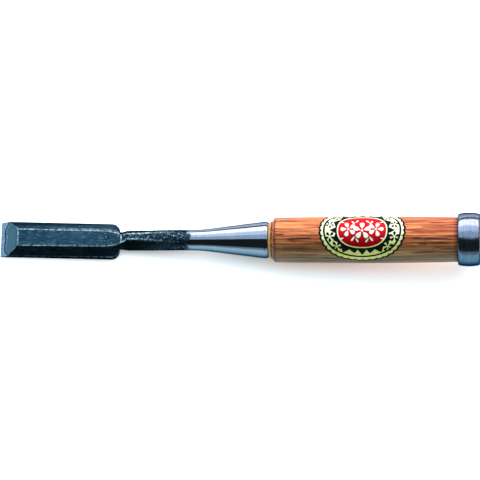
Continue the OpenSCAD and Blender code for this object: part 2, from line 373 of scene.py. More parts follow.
def hard_steel():
    m = Mat("hard_steel", Metallic=1.0, Specular_Tint=STEEL_TINT)
    lines = m.streaks((90, 2600, 900), 4, 0.6)
    cloud = m.noise(160, 3, 0.6)
    base = m.ramp(m.weigh((lines, 0.5), (cloud, 0.5)), (0.3, (70, 96, 116)), (0.7, (92, 118, 142)))
    base = m.mix(m.attr("back"), base, srgb((140, 146, 154)))
    # the side walls of the steel painted dark: painted shade
    base = m.mix(m.attr("side"), base, m.ramp(cloud, (0.35, (12, 24, 26)), (0.7, (42, 62, 66))))
    base = m.mix(m.attr("weld"), base, srgb((10, 16, 24)))
    bump = m.bump(m.add(lines, m.mul(cloud, 0.4)), 0.4, 0.00005)
    m.set(Base_Color=base, Roughness=m.map(lines, 0.3, 0.7, 0.2, 0.34), Normal=bump)
    return m.m


def turned_steel(name, light, dark, rough, pits, shade_tint):
    m = Mat(name, Metallic=1.0, Specular_Tint=STEEL_TINT)
    rings = m.axial(3200, 50, 4, 0.65)
    pit = m.noise(1700, 3, 0.7)
    cloud = m.noise(130, 4, 0.6)
    mixed = m.weigh((rings, 0.45), (pit, 0.3), (cloud, 0.25))
    # painted shade darkens the turned steel towards its underside
    base = m.painted_underside_shade(m.ramp(mixed, (0.34, dark), (0.66, light)), cloud, *shade_tint)
    # the marked rims are painted dark: a painted dark reflection in the rounded edges
    base = m.mix(m.mul(m.attr("edge"), m.map(pit, 0.35, 0.6)), base, srgb((38, 50, 64)))
    spots = m.map(m.noise(900, 2, 0.5), 0.66, 0.76)
    base = m.mix(m.mul(spots, pits), base, srgb((30, 40, 54)))
    bump = m.bump(m.weigh((rings, 0.5), (pit, pits)), 0.5, 0.00006)
    m.set(Base_Color=base, Roughness=m.map(mixed, 0.3, 0.7, *rough), Normal=bump)
    return m.m


# the boldest grain lines: from and to along the axis, height across the handle (1 is its radius),
# rise in degrees, width in degrees and darkness
GRAIN_LEAN, GRAIN_WIDTH = 21, 1.7
GRAIN = (
    (141.0, 154.0, 0.05, 1.2, 1.7, 1.0), (135.4, 140.0, 0.225, 0.0, 1.8, 0.75), (136, 147, 0.86, 0.0, 2.2, 0.55),
    (155, 160, -0.14, 0.0, 2.0, 0.7), (138, 152, -0.33, 0.0, 2.0, 0.4), (207, 220.5, 0.03, -0.8, 1.6, 0.95),
    (202, 207.5, 0.06, 0.0, 1.8, 0.85), (205, 210, -0.19, 0.0, 1.8, 0.7), (211, 221, -0.155, 0.0, 1.6, 0.6),
    (206, 219, 0.55, 0.0, 1.8, 0.55), (198, 222, 0.84, 1.0, 2.0, 0.4), (202, 214, -0.56, 2.0, 1.8, 0.5),
    (212, 216, -0.36, 1.5, 1.8, 0.6), (131.9, 134.6, 0.07, 5.0, 1.6, 0.9),
)
# painted shade on the -Y side of the wood, darker and more olive: sway, first and last angle, strength, dark and light
# colour
PAINTED_SIDE_SHADE = (
    (0.5, 8, -58, 0.68, (84, 64, 34), (144, 130, 80)),
    (0.4, -36, -88, 0.75, (48, 50, 32), (100, 106, 70)),
)


def oak():
    m = Mat("handle_wood", Specular_IOR_Level=0.2)
    warp = m.axial(22, 60, 2, 0.5)
    bands = m.axial(17, 640, 5, 0.62, 0.6)
    fibres = m.axial(60, 2500, 5, 0.75)
    threads = m.axial(42, 1250, 2, 0.5)
    tone = m.weigh((bands, 0.42), (threads, 0.36), (fibres, 0.22))
    base = m.ramp(tone, (0.41, (88, 16, 6)), (0.465, (156, 60, 28)), (0.52, (205, 104, 50)), (0.57, (234, 150, 86)))
    base = m.mix(m.map(warp, 0.35, 0.7, 0.0, 0.2), base, srgb((190, 112, 60)))
    # open pores: short dark streaks along the grain
    pores, gate = m.axial(95, 1900, 2, 0.45), m.axial(30, 190, 2, 0.5)
    streak = m.mul(m.map(pores, 0.57, 0.66), m.map(gate, 0.42, 0.56))
    bold = m.map(m.axial(52, 820, 1, 0.4), 0.675, 0.725)
    # the few boldest grain lines, by place along the axis and round it
    u, turn = m.round_axis()
    wander = m.sway(m.axial(120, 40, 2, 0.5), 0.035)
    for u0, u1, height, rise, width, dark in GRAIN:
        at = math.degrees(math.asin(height)) - GRAIN_LEAN
        half = (u1 - u0) / 2
        width = rad(width * GRAIN_WIDTH)
        k = m.mul(m.sub(u, ((u0 + u1) / 2 - PIVOT) * MM), 1 / MM / half)
        off = m.sub(m.add(turn, wander), m.math("MULTIPLY_ADD", k, rad(rise), rad(at)))
        line = m.mul(m.map(m.absolute(off), width, width * 0.3), m.map(m.absolute(k), 1.0, 0.7))
        bold = m.math("MAXIMUM", bold, m.mul(line, dark))
    # painted shade: the -Y side of the wood darker and more olive
    for sway, start, end, most, low, high in PAINTED_SIDE_SHADE:
        side_shade = m.map(m.add(turn, m.sway(bands, sway)), rad(start), rad(end), 0.0, most, soft=True)
        side_shade = m.mul(side_shade, m.map(m.absolute(turn), rad(150), rad(110)))
        base = m.mix(side_shade, base, m.ramp(tone, (0.4, low), (0.6, high)))
    # marks of the lathe at the front of the belly
    front = m.map(u, (BELLY_U + 7 - PIVOT) * MM, (BELLY_U - PIVOT) * MM)
    turning = m.map(m.axial(1900, 8, 2, 0.6), 0.55, 0.65, 0.0, 0.4)
    base = m.mix(m.mul(front, turning), base, srgb((226, 172, 124)))
    # darker lines along the collar groove and the shoulder, and at the joints with the ferrule and the hoop
    dark_lines = m.attr("edge")
    for value, most, color in ((streak, 0.85, (104, 22, 12)), (bold, 0.96, (34, 2, 6)), (dark_lines, 0.92, (60, 16, 10))):
        base = m.mix(m.mul(value, most), base, srgb(color))
    base = m.mix(m.mul(m.attr("end"), m.map(fibres, 0.3, 0.7, 0.4, 0.9)), base, srgb((150, 96, 60)))
    base = m.mix(m.attr("lip"), base, m.ramp(fibres, (0.3, (170, 128, 70)), (0.7, (214, 176, 112))))
    height = m.sub(m.mul(fibres, 0.5), m.add(streak, m.mul(bold, 1.4)))
    height = m.add(height, m.mul(m.axial(2400, 30, 2, 0.6), dark_lines))
    m.set(Base_Color=base, Roughness=m.map(tone, 0.3, 0.7, 0.5, 0.38), Normal=m.bump(height, 0.5, 0.00008),
          Coat_Weight=0.03, Coat_Roughness=0.3)
    return m.m


def foil(name, light, dark, rough, low=None, gloss=0.2):
    """A printed or foil face of the label. low is its colour in painted shade, towards -Y."""
    m = Mat(name, Specular_IOR_Level=gloss)
    cloud = m.noise(420, 4, 0.65)
    tone = m.weigh((cloud, 0.6), (m.noise(2600, 2, 0.6), 0.4))
    base = m.ramp(tone, (0.32, dark), (0.68, light))
    if low:
        # painted shade: the label goes over into its low colour towards -Y
        y = m.add(m.split(m.coord, 1), m.sway(cloud, 0.004))
        base = m.mix(m.map(y, 0.001, -0.008), base, srgb(low))
    m.set(Base_Color=base, Roughness=m.map(tone, 0.3, 0.7, *rough), Normal=m.bump(tone, 0.35, 0.00004))
    return m.m


# what is painted on the forging, a number from 0 to 1 for every point of it: bright worn ridges with a painted
# highlight, forge scale, dark scale on the sides with painted shade, and the ground bevel
MARKS = ("ridge", "scale", "side", "ground")
IRON, STEEL, WOOD = forged_iron(), hard_steel(), oak()
# the last argument of each is its painted shade, on the sides and underneath
POLISHED = turned_steel("polished_steel", CONE_LIGHT, CONE_DARK, CONE_ROUGH, 0.25, CONE_SHADE)
HOOP_STEEL = turned_steel("hoop_steel", (138, 142, 154), (100, 110, 124), (0.12, 0.22), 0.7, HOOP_SHADE)
# the last colour given to a foil is its painted shade towards -Y
GOLD = foil("label_gold", (255, 252, 222), (242, 234, 172), (0.26, 0.4), (208, 214, 112))
INK = foil("label_ink", (10, 18, 18), (3, 7, 8), (0.5, 0.65), gloss=0.06)
RED = foil("label_red", (222, 0, 22), (190, 0, 14), (0.36, 0.5), (118, 0, 6), 0.06)
WHITE = foil("label_white", (240, 240, 232), (226, 226, 208), (0.3, 0.42), (190, 230, 180))


# ---------------------------------------------------------------- blade
BEVEL_SLOPE = TIP_T / BEVEL_L


def blade_t(x):
    return TIP_T + (HEEL_T - TIP_T) * (x - BEVEL_L) / (BLADE_L - BEVEL_L)


# three corners of a sloped side, which give its plane
EDGE_CORNER = Vector((0, EDGE_W / 2, SIDE_H))
BEVEL_CORNER = Vector((BEVEL_L, FLAT_W / 2, TIP_T))
HEEL_CORNER = Vector((OGIVE_X, FLAT_HEEL_W / 2, blade_t(OGIVE_X)))
SLOPE = (BEVEL_CORNER - EDGE_CORNER).cross(HEEL_CORNER - EDGE_CORNER)


def slope_z(x, y):
    return EDGE_CORNER.z - (SLOPE.x * (x - EDGE_CORNER.x) + SLOPE.y * (y - EDGE_CORNER.y)) / SLOPE.z


def half_w(x):
    if x <= HEEL_X:
        return lerp(EDGE_W, HEEL_W, clamp(x / HEEL_X)) / 2
    if x < BLADE_L:
        return HEEL_Y + math.sqrt(max(0.0, HEEL_R**2 - (x - HEEL_X) ** 2))
    return HEEL_Y


HEEL_SIDE = slope_z(HEEL_X, half_w(HEEL_X))


def flat_half(x):
    if x <= OGIVE_X:
        return lerp(FLAT_W, FLAT_HEEL_W, clamp((x - BEVEL_L) / (OGIVE_X - BEVEL_L))) / 2
    s = clamp((x - OGIVE_X) / (OGIVE_END - OGIVE_X))
    return lerp(FLAT_HEEL_W, OGIVE_W, s**1.7) / 2


# The place across the blade is v: 0 in the middle, 0.5 at the flat's edge and 1 at the outer wall.
HALF_VS = [k / 20 for k in range(10)] + [0.475, 0.4875, 0.5, 0.5125, 0.53, 0.56, 0.6, 0.65, 0.7, 0.75]
HALF_VS += [0.8, 0.85, 0.9, 0.94, 0.97, 0.985, 1.0]
VS = sorted({round(sign * v, 5) for sign in (-1, 1) for v in HALF_VS})
NV = len(VS)
# height of the weld by its place across
WELD = ((-1.0, SIDE_H), (-0.9, 1.86), (-0.82, 1.46), (-0.68, 1.2), (-0.55, 1.1), (-0.32, 1.02), (-0.15, 1.18),
        (-0.02, 1.3), (0.12, 1.18), (0.27, 1.03), (0.48, 1.04), (0.58, 1.2), (0.68, 1.46), (0.89, 1.88), (1.0, SIDE_H))
WELD_END = 57.5


def across(v, x):
    f, w = flat_half(x), half_w(x)
    s = abs(v)
    return math.copysign(2 * s * f if s <= 0.5 else lerp(f, w, 2 * s - 1), v)


def weld_z(x, y):
    """Height of the weld between the two metals: wavy in the middle, turned up at the sides."""
    v = clamp(y / half_w(min(x, WELD_END)), -1, 1)
    for (a, za), (b, zb) in zip(WELD, WELD[1:]):
        if v <= b:
            z = lerp(za, zb, smooth((v - a) / (b - a)))
            break
    return z + 0.05 * nz(x, y, 8.2, 1.1) * clamp((1 - abs(v)) * 6)


def solve(f, a, b):
    """Where f rises through 0, between a and b."""
    for _ in range(40):
        c = (a + b) / 2
        if f(c) > 0:
            b = c
        else:
            a = c
    return (a + b) / 2


def bevel_top(v):
    """Where the bevel meets the flat or a sloped side."""
    if abs(v) <= 0.5:
        return BEVEL_L
    return solve(lambda x: x * BEVEL_SLOPE - slope_z(x, abs(across(v, x))), 1.0, BEVEL_L)


WELD_X = {v: solve(lambda x: x * BEVEL_SLOPE - weld_z(x, across(v, x)), 0.2, 4.5) for v in VS}
TOP_X = {v: max(bevel_top(v), WELD_X[v]) for v in VS}
for v in (-1.0, 1.0):
    TOP_X[v] = WELD_X[v] = SIDE_H / BEVEL_SLOPE


def iron_top(x, y, v):
    """Height of the flat and the sloped sides, with chipped ridges and small unevenness."""
    s = abs(v)
    z = blade_t(x) if s <= 0.5 else slope_z(x, abs(y))
    if x > OGIVE_X and s > 0.5:
        z = lerp(blade_t(x), min(slope_z(x, half_w(x)), HEEL_SIDE), 2 * s - 1)
    d = abs(s - 0.5) * 2 * flat_half(x)
    chip = 0.5 + 0.9 * nz(x, v * 3, 7, 1.3)
    z -= clamp(0.1 + 0.1 * chip, 0.03, 0.3) * clamp(1 - d / 0.28)
    return z + (0.035 * nz(x, y, 0, 0.55) + 0.02 * nz(x, y, 5, 1.9)) * clamp((1 - s) * 12)


def under(points):
    """The forging's lower side: the weld, below a row of points of its upper side."""
    return [(x, y, weld_z(x, y) if abs(y) < half_w(x) - 1e-4 else SIDE_H) for x, y, _ in reversed(points)]


class Skin:
    """Rings of points, each an upper and a lower row, with the marks of every point."""

    def __init__(self):
        self.rings, self.marks = [], []

    def add(self, top, low, marks):
        self.rings.append(top + low)
        self.marks += marks

    def values(self):
        return {key: [m[k] for m in self.marks] for k, key in enumerate(MARKS)}


def side_mark(x, v):
    """How dark the scale lies, with painted shade added: inside the +Y edge of the flat, outside on the +Y slope, all
    over the -Y slope.
    """
    if v > 0.52:
        return 0.85 * smooth((v - 0.6 - 0.005 * x) / 0.12)
    if v > 0.4:
        return 0.7 * clamp(1 - abs(v - 0.455) / 0.05)
    return 0.62 if v < -0.52 else 0.0


def top_marks(x):
    out = []
    for v in VS:
        s = abs(v)
        ridge = clamp(1 - abs(s - 0.5) * 2 * flat_half(x) / 0.45)
        # a painted highlight along the +Y slope beside its ridge, growing towards the heel
        if v > 0.5:
            ridge = max(ridge, 0.42 * smooth((x - 22) / 16) * clamp(1 - abs(v - 0.6) / 0.1))
        # the outer walls: a painted highlight, strongest round the heel
        if s > 0.98:
            ridge = 0.5 if x < 46 else 0.95
        scale = smooth((x - 46.5) / 6) * 0.36 * clamp(1.2 - s)
        # the painted highlight on the ridges is stronger on the -Y side
        out.append((ridge * (0.6 if v > 0 else 0.9), scale, side_mark(x, v), 0.0))
    return out + [(0.0, 0.3, 0.25 if x > 52 else 0.9, 0.0)] * NV


# the bevel's rings: four close to the weld, moved up by these lengths, then up to the top
BEVEL_RINGS, NEAR_WELD = 18, (0, 0.4, 0.6, 0.9)
RIM = BEVEL_RINGS - 3


def bevel_marks(k):
    """Dark at the weld, a bright line above it, and a worn rim at the top that also carries a painted highlight."""
    if k < 2:
        top = [(0, 0, 0.95, 1.0)] * NV
    elif k < RIM:
        top = [(0.3 if k == 3 else 0, 0, 0, 1.0)] * NV
    else:
        flat, dark = ((0.0, 0.5), (0.12, 0), (0.3, 0))[k - RIM]
        slopes = (0.0, 0.0) if k < BEVEL_RINGS - 1 else (1.0, 0.35)
        top = [(flat if abs(v) <= 0.5 else slopes[v > 0], 0, dark, 1.0) for v in VS]
    return top + [(0.0, 0.3, 0.9, 0.0)] * NV


def bevel_rings(skin):
    """The ground bevel, from the weld line to its upper boundary."""
    for k in range(BEVEL_RINGS):
        t = max(0.0, (k - 3) / (BEVEL_RINGS - 4))
        near = NEAR_WELD[min(k, 3)]
        top = []
        for v in VS:
            x = lerp(WELD_X[v], TOP_X[v], t) + near * clamp((TOP_X[v] - WELD_X[v]) / 1.2) * (1 - t)
            y = across(v, x)
            z = x * BEVEL_SLOPE + (0.008 * nz(x, y, 1, 2.2) if 0 < t < 1 else 0)
            if t == 1 and abs(v) <= 0.5:
                z -= 0.03
            top.append((x, y, z))
        low = under(top) if k else top[::-1]
        low[0], low[-1] = top[-1], top[0]
        skin.add(top, low, bevel_marks(k))


def body_rings(skin):
    """The flat and the sloped sides, then the heel, down to where the neck leaves it."""
    span, front = OGIVE_X - BEVEL_L, 0.3
    rows = [0.04, 0.16, 0.4] + [0.4 + 0.42 * k for k in range(1, 102)]
    for r in [r for r in rows if r < span] + [span]:
        top = []
        for v in VS:
            x = lerp(TOP_X[v], OGIVE_X, r / span)
            y = across(v, x)
            z = iron_top(x, y, v)
            if r < front and abs(v) <= 0.5:
                z -= 0.05 * (1 - r / front) * (1 + nz(x, y, 2, 2.0))
            top.append((x, y, z))
        marks = top_marks(BEVEL_L + r)
        # the top of the bevel: a worn rim with a painted highlight
        if r < front:
            for i, v in enumerate(VS):
                ridge, *others = marks[i]
                marks[i] = (max(ridge, 0.75 if abs(v) <= 0.5 else 0.35), *others)
        skin.add(top, under(top), marks)
    for k in range(1, 35):
        x = lerp(OGIVE_X, BLADE_L, 1 - (1 - k / 34) ** 1.35)
        top = [(x, across(v, x), iron_top(x, across(v, x), v)) for v in VS]
        skin.add(top, under(top), top_marks(x))


def section_angle(v):
    """Angle on a round section for a place across: the flat takes a third of its upper half."""
    s = abs(v)
    return math.copysign(rad(2 * s * 30 if s <= 0.5 else 30 + (2 * s - 1) * 60), v)


def squared(points, u):
    """The same section, turned from upright to square on the tilted axis along the neck."""
    k = smooth((u - 76) / 16)
    out = []
    for x, y, z in points:
        d = z - axis_z(u)
        out.append((x - k * d * sin(TILT), y, axis_z(u) + d * lerp(1, cos(TILT), k)))
    return out


def neck_rings(skin):
    """Collar and neck, from a ridged section to a round one."""
    us = [BLADE_L + 0.06 + 0.22 * k for k in range(28)]
    us += [us[-1] + 0.4 * k for k in range(1, 75)]
    us = [u for u in us if u < 94] + [94 + 0.5 * k for k in range(26) if 94 + 0.5 * k < FERRULE_U - 0.2]
    for u in us:
        axis = axis_z(u)
        rounded = smooth((u - 64) / 26)
        away = smooth((u - BLADE_L) / 4.2)
        # half width and height of the upper facet, with the raised collar and the dip behind it
        ft = lerp(2.15, 1.35, away) + 0.5 * smooth((u - 66) / 16)
        zt = lerp(blade_t(u), axis + lerp(3.5, 4.2, smooth((u - 63) / 20)), away)
        zt += 0.28 * bell(u - BLADE_L - 0.6, 0.35) - 0.3 * bell(u - BLADE_L - 2.3, 0.9)
        # half width, height of the widest place, lowest place, and radius once it is round
        ww = lerp(HEEL_Y, 5.08, smooth((u - BLADE_L) / 5))
        zw = lerp(HEEL_SIDE, axis - 0.1, smooth((u - BLADE_L) / 3.5))
        zb = lerp(axis - 3.4, axis - 3.9, smooth((u - 60) / 14))
        rr = cone_r(PIVOT + (u - PIVOT) / cos(TILT))
        rough = 1 - smooth((u - 88) / 6)
        leaning = 0.75 * smooth((u - 59.2) / 3) * (1 - rounded)
        top, low, marks = [], [], []
        for v in VS:
            s = abs(v)
            y, z = 2 * s * ft, zt
            if s > 0.5:
                y, z = lerp(ft, ww, 2 * s - 1), lerp(zt, zw, (2 * s - 1) ** 1.5)
            a = abs(section_angle(v))
            y, z = lerp(y, rr * sin(a), rounded), lerp(z, axis + rr * cos(a), rounded)
            grow = 1 + rough * (0.09 * nz(u, v * 4, 0, 0.8) + 0.07 * nz(u, v * 4, 9, 2.4)) / 4.6
            lean = leaning * (1 - clamp((s - 0.5) * 2) ** 2)
            top.append((u, math.copysign(y * grow, v) + lean, axis + (z - axis) * grow))
            # the neck's ridges and its collar: worn bright with a painted highlight
            ridge = clamp(1 - abs(s - 0.5) * 2 * ft / 0.5) * (1 - rounded) * (0.9 if u > 62 else 0.6)
            if s < 0.55:
                ridge = max(ridge, 0.9 * bell(u - BLADE_L - 0.6, 0.3))
            # the rough neck's sides and underside: dark scale with painted shade
            dark = rough * smooth((s - 0.5) / 0.12) * (1 - 0.55 * rounded)
            marks.append((ridge, (0.85 if s < 0.62 else 0.35) * rough, dark, 0.0))
        power = lerp(0.78, 1.0, rounded)
        for k in range(NV):
            a = pi * (k + 0.5) / NV
            y = lerp(ww, rr, rounded) * math.copysign(abs(cos(a)) ** power, cos(a))
            z = lerp(zw, axis, rounded) - lerp(zw - zb, rr, rounded) * abs(sin(a)) ** power
            low.append((u, y, z))
            marks.append((0.0, 0.4 * rough, 0.7 * rough, 0.0))
        skin.add(squared(top, u), squared(low, u), marks)


def tang_rings(skin):
    """The shoulder against the ferrule, square to the tilted axis, then the tang."""
    angles = [section_angle(v) for v in VS] + [pi / 2 + pi * (k + 0.5) / NV for k in range(NV)]
    rings = [[polar(FERRULE_U, r, a) for a in angles] for r in (cone_r(FERRULE_U), SHOULDER_R)]
    rings += [[polar(FERRULE_U + at, square_r(width, a), a) for a in angles] for at, width in TANG]
    for ring in rings:
        skin.add(ring[:NV], ring[NV:], [(0.0, 0.0, 0.0, 0.0)] * len(ring))


def blade_piece():
    skin = Skin()
    for build in (bevel_rings, body_rings, neck_rings, tang_rings):
        build(skin)
    piece("blade_forging", loft(skin.rings), IRON, ["blade_body"], 28, skin.values())


def hollow_z(x, y):
    dx = (x - HOLLOW_LAND - HOLLOW_L / 2) / (HOLLOW_L / 2)
    return max(0.0, HOLLOW_D * (1 - dx * dx - (y / (HOLLOW_W / 2)) ** 2))


def heel_end(v):
    """Where the steel ends at the heel: straight across, then round each corner."""
    s = abs(v)
    if s <= 0.5:
        return BLADE_L, math.copysign(2 * s * HEEL_Y, v)
    a = rad(lerp(0, 90, 2 * s - 1))
    return HEEL_X + HEEL_R * cos(a), math.copysign(HEEL_Y + HEEL_R * sin(a), v)


def wall(point, sign):
    """Two extra points down a side wall, and the fine break of its lower corner."""
    x, y, z = point
    return [(x, y, z * 0.62), (x, y, min(0.14, z * 0.3)), (x, y - sign * min(0.1, z * 0.2), 0.0)]


def steel_piece():
    rings, weld, back, side = [], [], [], []
    rows = [(True, k / 12) for k in range(12)] + [(True, 0.965), (True, 1.0)]
    rows += [(False, k / 118) for k in range(1, 119)]
    for bevel, t in rows:
        top = []
        for v in VS:
            if bevel:
                x = lerp(0, WELD_X[v], t)
                y, z = across(v, x), x * BEVEL_SLOPE
            else:
                end_x, end_y = heel_end(v)
                x, y = lerp(WELD_X[v], end_x, t), lerp(across(v, WELD_X[v]), end_y, t)
                z = weld_z(x, y) if abs(v) < 1 else SIDE_H
            top.append((x, y, z))
        low = [(x, y, min(hollow_z(x, y), z * 0.5)) for x, y, z in top]
        if bevel and t == 0:
            low = top
        rings.append(top + wall(top[-1], 1) + low[-2:0:-1] + wall(top[0], -1)[::-1])
        on_weld = 1.0 if t == 1 or not bevel else 0.0
        weld += [on_weld * (1.0 if abs(v) < 1 else 0.2) for v in VS] + [0.0] * (NV + 4)
        back += [0.0] * (NV + 2) + [1.0] * NV + [0.0] * 2
        side += [0.0 if abs(v) < 1 or bevel else 1.0 for v in VS] + [1.0, 1.0] + [0.0] * NV + [1.0, 1.0]
    values = {"weld": weld, "back": back, "side": side}
    piece("hard_steel", loft(rings, (False, True)), STEEL, ["cutting_steel"], 28, values)


# ---------------------------------------------------------------- ferrule, handle, hoop
def tube(name, profile, material, node, wobble, edge):
    """A closed profile of (u, r) turned about the tilted axis."""
    rings, marks = [], []
    for u, r in profile + profile[:1]:
        rings.append([polar(u, r + wobble(u, r, a), a) for a in ANGLES])
        marks += [edge(u, r)] * TURNS
    piece(name, loft(rings, (False, False)), material, [node], 40, {"edge": marks})


def ferrule_piece():
    outer = [(u, cone_r(u)) for u in [FERRULE_U + 0.03] + [FERRULE_U + 1 + k for k in range(22)] + [LIP_U - 0.5]]
    outer += [(LIP_U + at, FERRULE_R - inset) for at, inset in ((0, 0), (0.5, 0.03), (1.1, 0.12), (1.6, 0.27))]
    outer += [(FERRULE_END - 0.1, FERRULE_R - 0.47), (FERRULE_END, FERRULE_R - 0.62)]
    mid = lerp(FERRULE_U, FERRULE_END, 0.5)
    inner = [(FERRULE_END, nose_r(FERRULE_END)), (mid, nose_r(mid)), (FERRULE_U + 0.02, nose_r(FERRULE_U))]

    def wobble(u, r, a):
        return 0.006 * nz(u, 3 * cos(a), 3 * sin(a), 0.5) if r > nose_r(u) + 0.3 else 0

    tube("ferrule_cone", outer + inner, POLISHED, "ferrule", wobble, lambda u, r: 0.0)


def hoop_piece():
    rim, crowned = 0.45, 26
    mid, half = HOOP_U + HOOP_L / 2, HOOP_L / 2 - rim
    drop = 0.62 * HOOP_DROP
    rr = HOOP_R - drop
    face = [(0, SEAT_R), (0, rr - rim - 0.1), (0.06, rr - rim + 0.05), (0.25, rr - 0.12)]
    crown = [2 * k / crowned - 1 for k in range(crowned + 1)]
    profile = [(HOOP_U + at, r) for at, r in face]
    profile += [(mid + half * k, HOOP_R - drop * abs(k) ** 2.6) for k in crown]
    profile += [(HOOP_END - at, r) for at, r in reversed(face)]

    def wobble(u, r, a):
        if r <= SEAT_R + 0.01:
            return 0
        broad = nz(u * 0.5, 5 * cos(a), 5 * sin(a), 0.5)
        return smooth((r - 11.3) / 1.2) * (0.035 * broad + 0.02 * nz(u, 12 * cos(a), 12 * sin(a), 0.8) - 0.03)

    # the rims painted dark in the material, as a painted reflection
    def edge(u, r):
        return 1.0 if (u < HOOP_U + 0.5 or u > HOOP_END - 0.5) and r > 11.6 else 0.0

    tube("striking_hoop", profile, HOOP_STEEL, "hoop", wobble, edge)


def handle_profile():
    """The outside of the handle as (u, r), from its nose in the ferrule to the middle of its butt."""
    nose = [(FERRULE_U + 0.5, nose_r(FERRULE_U + 0.5)), (FERRULE_END, nose_r(FERRULE_END)), (FERRULE_END, 8.35)]
    collar = [(FERRULE_END + at, r) for at, r in ((0.35, 8.75), (1.0, 9.05), (1.5, 9.2), (1.75, 9.08), (2.0, 9.3))]
    shoulder = [(BELLY_U - 0.95, 9.95), (BELLY_U - 0.5, 10.5), (BELLY_U - 0.2, 10.8),
                (BELLY_U + 0.1, belly_r(BELLY_U + 0.1) - 0.04), (BELLY_U + 0.6, belly_r(BELLY_U + 0.6))]
    body = [(u, belly_r(u)) for u in [BELLY_U + 1.5 + k * 1.5 for k in range(58)] if u < HOOP_U - 0.4]
    seat = [(HOOP_U - 0.15, belly_r(HOOP_U)), (HOOP_U - 0.02, belly_r(HOOP_U) - 0.06)]
    seat += [(HOOP_U, SEAT_R), (HOOP_END, SEAT_R)]
    dome = [rad(a) for a in (12, 25, 38, 52, 66, 80, 90)]
    butt = [(HOOP_END + CROWN_H * sin(a), DOME_R + (SEAT_R - DOME_R) * cos(a)) for a in dome]
    butt += [(HOOP_END + CROWN_H, r) for r in (6.0, 4.5, 3.0, 1.5, 0.02)]
    return nose + collar + shoulder + body + seat + butt


def handle_wobble(u, r, a):
    y, z = r * cos(a), r * sin(a)
    if u > HOOP_END + 0.05:
        k = clamp((u - HOOP_END) / 0.5)
        return -0.12 * k * (0.5 + 0.5 * nz(y, z, 1, 0.9)) - 0.05 * k * nz(y, z, 2, 3)
    if u < FERRULE_END or u > HOOP_U - 0.1:
        return 0
    return 0.02 * nz(u * 0.08, y * 0.25, z * 0.25) + 0.007 * nz(u * 0.3, y * 2, z * 2) - 0.012


def handle_piece():
    # the square socket for the tang, from its closed end out to the nose
    rings = [[polar(FERRULE_U + at, square_r(width, a), a) for a in ANGLES] for at, width in SOCKET]
    count = len(SOCKET) * TURNS
    edge, end, lip = [0.0] * count, [0.3] * count, [0.0] * count
    for u, r in handle_profile():
        ring = []
        for a in ANGLES:
            y, z = r * cos(a), r * sin(a)
            uu = u
            if u > HOOP_END + CROWN_H - 0.4:
                uu -= 0.22 * (0.5 + 0.5 * nz(y, z, 4, 0.8)) + 0.06 * nz(y, z, 6, 3.0)
            ring.append(polar(uu, max(r + handle_wobble(u, r, a), 0.01), a))
        rings.append(ring)
        e = bell(u - FERRULE_END - 1.75, 0.32) + bell(u - BELLY_U, 0.45) + 0.5 * bell(u - FERRULE_END, 0.4)
        if u < HOOP_U + 0.1:
            e += 0.8 * bell(u - HOOP_U, 0.3)
        edge += [clamp(e)] * TURNS
        end += [0.9 if u > HOOP_END + 0.05 else 0.0] * TURNS
        lip += [0.75 if FERRULE_END < u < FERRULE_END + 1.1 else 0.0] * TURNS
    piece("oak_handle", loft(rings), WOOD, ["handle"], 40, {"edge": edge, "end": end, "lip": lip})


# ---------------------------------------------------------------- label: flat shapes, as (along, across)
LABEL_R = BELLY_R + 0.04
SCALLOPS, SCALLOP_DEPTH = 36, 0.034
TICK_HALF_W, TICK_TAPER = 0.2, 0.4


def oval(a, b, n=180, power=2.0):
    out = []
    for i in range(n):
        c, s = cos(2 * pi * i / n), sin(2 * pi * i / n)
        out.append((a * math.copysign(abs(c) ** (2 / power), c), b * math.copysign(abs(s) ** (2 / power), s)))
    return out


def scalloped(inset):
    out = []
    n = SCALLOPS * 8
    for i in range(n):
        t = 2 * pi * (i + 0.5) / n
        k = 1 - SCALLOP_DEPTH * (1 - abs(sin(t * SCALLOPS / 2)) ** 0.75)
        out.append(((LABEL_L / 2 * k - inset) * cos(t), (LABEL_W / 2 * k - inset) * sin(t)))
    return out


def star():
    """The black star band: small teeth above and below, one long point at each end."""
    quarter = [(16.1, 0), (12.95, 1.6), (14.1, 5.1), (10.7, 6.5), (9.4, 11.4), (6.25, 9.6), (3.75, 11.8), (2.15, 9.9)]
    half = quarter + [(0, 12.8)] + [(-s, t) for s, t in reversed(quarter)]
    return half + [(s, -t) for s, t in reversed(half[1:-1])]


def petal(cx, cy, length, width, angle, start, n=14, tip=0.8):
    out = []
    for i in range(n):
        t = 2 * pi * i / n
        p = start + length * (1 - cos(t)) / 2
        q = width / 2 * sin(t) * (((1 - cos(t)) / 2) ** tip + 0.15)
        out.append((cx + p * cos(angle) - q * sin(angle), cy + p * sin(angle) + q * cos(angle)))
    return out


# centre, size and turn of each blossom; centre, length, width and angle of the leaves of one half
BLOSSOMS = ((-6.7, 0.5, 3.0, 0.3), (0.0, -0.2, 3.5, 0.0), (6.7, 0.5, 3.0, -0.3))
LEAVES = ((3.35, 3.0, 2.6, 1.1, 0.9), (3.35, -3.0, 2.9, 1.2, -0.9), (3.3, -3.9, 2.4, 1.0, -2.2),
          (3.5, 4.0, 2.2, 1.0, 2.3), (8.6, -3.9, 2.2, 1.0, -0.3), (8.4, 4.2, 2.0, 0.9, 0.35))
# centre and size of the rosettes of one half
ROSETTES = ((15.7, 3.3, 1.02), (15.7, -3.3, 1.3), (12.4, -8.1, 1.36), (12.4, 8.4, 1.06))


